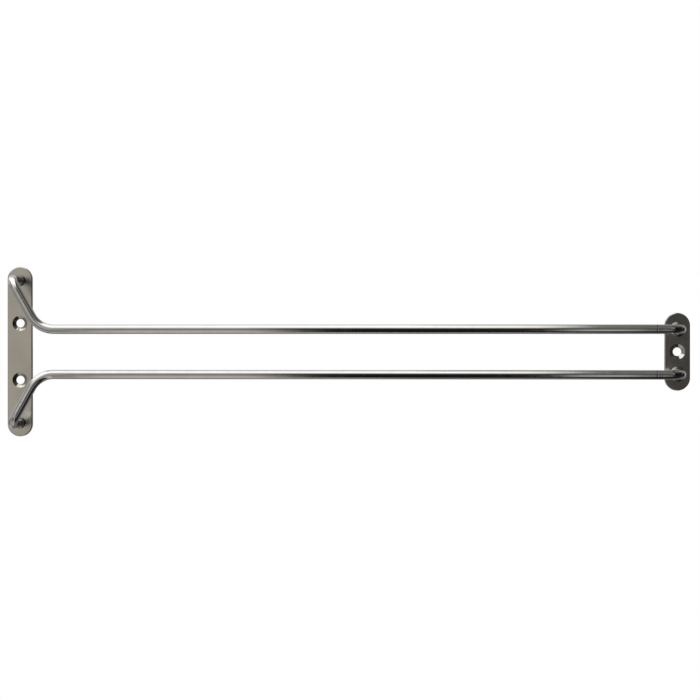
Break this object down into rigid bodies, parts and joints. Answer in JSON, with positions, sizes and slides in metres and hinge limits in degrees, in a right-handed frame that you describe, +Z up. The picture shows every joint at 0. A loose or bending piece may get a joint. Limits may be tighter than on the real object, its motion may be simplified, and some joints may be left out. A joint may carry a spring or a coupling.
{
  "type": "hanging glass rack",
  "caption": "Under-shelf rack of two parallel round-wire rails welded to a long front plate and a short rear plate, for sliding stemmed glasses in by their feet.",
  "frame": {"origin": "centre of the front plate's mounting face, which lies against the underside of the shelf", "axes": "+Z up into the shelf, +Y from the front plate towards the rear plate, +X to the right seen from the front"},
  "size_m": [0.1016, 0.4064, 0.032],
  "materials": {
    "front_plate": "satin plated steel strip",
    "rear_plate": "satin plated steel strip, darker",
    "rail": "polished chrome plated wire",
    "weld": "plated weld bead"
  },
  "bodies": {
    "root": {"front_plate": "front_plate", "rear_plate": "rear_plate", "right_rail": "rail", "left_rail": "rail", "front_right_weld": "weld", "front_left_weld": "weld", "rear_right_weld": "weld", "rear_left_weld": "weld"}
  },
  "joints": []
}
